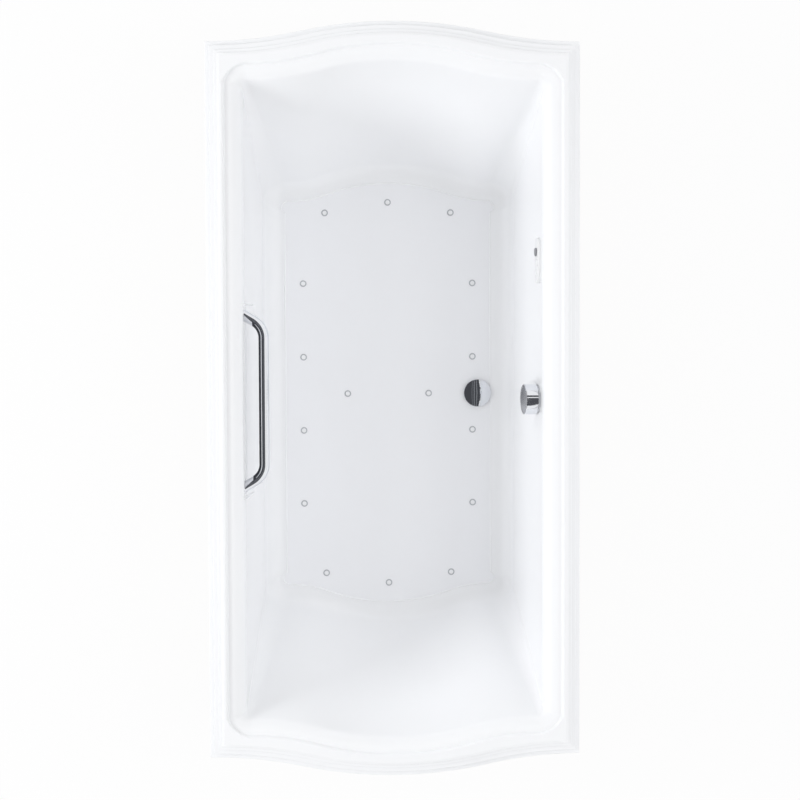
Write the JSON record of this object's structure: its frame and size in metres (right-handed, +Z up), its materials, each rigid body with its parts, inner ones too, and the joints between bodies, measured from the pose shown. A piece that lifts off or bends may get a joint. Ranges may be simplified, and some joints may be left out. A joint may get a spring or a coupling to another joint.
{
  "type": "air jet bathtub",
  "caption": "Drop-in air bath with a stepped rim, sloping bowed ends, floor air jets, grab bar, wall keypad, lifting waste stopper and turning overflow knob.",
  "frame": {"origin": "on the ground, at the middle of the tub's outline in plan", "axes": "+X towards the side with the waste and overflow, +Y along the tub, +Z up"},
  "size_m": [0.902, 1.8286, 0.533],
  "materials": {
    "acrylic": "high gloss",
    "plywood": "raw",
    "foam_block": "raw",
    "chrome": "polished",
    "steel": "zinc plated",
    "jet_plastic": "gloss",
    "duct_plastic": "matte",
    "pipe_plastic": "satin",
    "blower_plastic": "matte",
    "rubber": "matte",
    "motor_metal": "painted",
    "impeller_plastic": "matte",
    "brass": "rough cast",
    "cable_sheath": "satin",
    "keypad_plastic": "gloss",
    "key_dark": "gloss",
    "box_plastic": "satin"
  },
  "bodies": {
    "tub": {"tub_shell": "acrylic", "base_board": "plywood", "support_blocks": "foam_block", "grab_bar": "chrome", "grab_bar_backing_plates": "steel", "grab_bar_nuts": "steel", "air_jets": "jet_plastic", "air_channel": "duct_plastic", "supply_pipe": "pipe_plastic", "blower_housing": "blower_plastic", "blower_feet": "rubber", "blower_deck": "blower_plastic", "blower_motor": "motor_metal", "blower_cover": "blower_plastic", "waste_flange": "chrome", "waste_gasket": "rubber", "waste_shoe": "brass", "control_cable": "cable_sheath", "overflow_pipe": "brass", "drain_tee": "brass", "overflow_housing": "pipe_plastic", "overflow_gasket": "rubber", "overflow_retainer": "jet_plastic", "keypad_housing": "keypad_plastic", "keypad_back": "blower_plastic", "control_box": "box_plastic", "control_box_lid": "box_plastic"},
    "stopper": {"stopper_cap": "chrome", "stopper_seal": "rubber", "lift_plunger": "brass"},
    "knob": {"overflow_knob": "chrome", "knob_crank": "steel"},
    "fan": {"impeller": "impeller_plastic", "impeller_shaft": "steel"},
    "power_key": {"key_power": "key_dark"},
    "up_key": {"key_up": "keypad_plastic"},
    "down_key": {"key_down": "keypad_plastic"}
  },
  "joints": [
    {"name": "overflow_knob_turn", "type": "hinge", "parent": "tub", "child": "knob", "pos_m": [0.35813, 0, 0.441], "axis": [-0.9966, 0, 0.0826], "range_deg": [0, 90]},
    {"name": "stopper_lift", "type": "slide", "parent": "tub", "child": "stopper", "axis": [0, 0, 1], "range_m": [0, 0.012]},
    {"name": "impeller_spin", "type": "hinge", "parent": "tub", "child": "fan", "pos_m": [0, -0.79, 0.1], "axis": [0, 0, 1], "continuous": true},
    {"name": "power_key_press", "type": "slide", "parent": "tub", "child": "power_key", "axis": [0.9966, 0, -0.0826], "range_m": [0, 0.0012], "stiffness_N_per_m": 900, "springref_m": -0.0004},
    {"name": "up_key_press", "type": "slide", "parent": "tub", "child": "up_key", "axis": [0.9966, 0, -0.0826], "range_m": [0, 0.0012], "stiffness_N_per_m": 700, "springref_m": -0.0004},
    {"name": "down_key_press", "type": "slide", "parent": "tub", "child": "down_key", "axis": [0.9966, 0, -0.0826], "range_m": [0, 0.0012], "stiffness_N_per_m": 700, "springref_m": -0.0004}
  ],
  "couplings": [
    {"joint": "stopper_lift", "follows": "overflow_knob_turn", "m_per_rad": 0.00763}
  ]
}
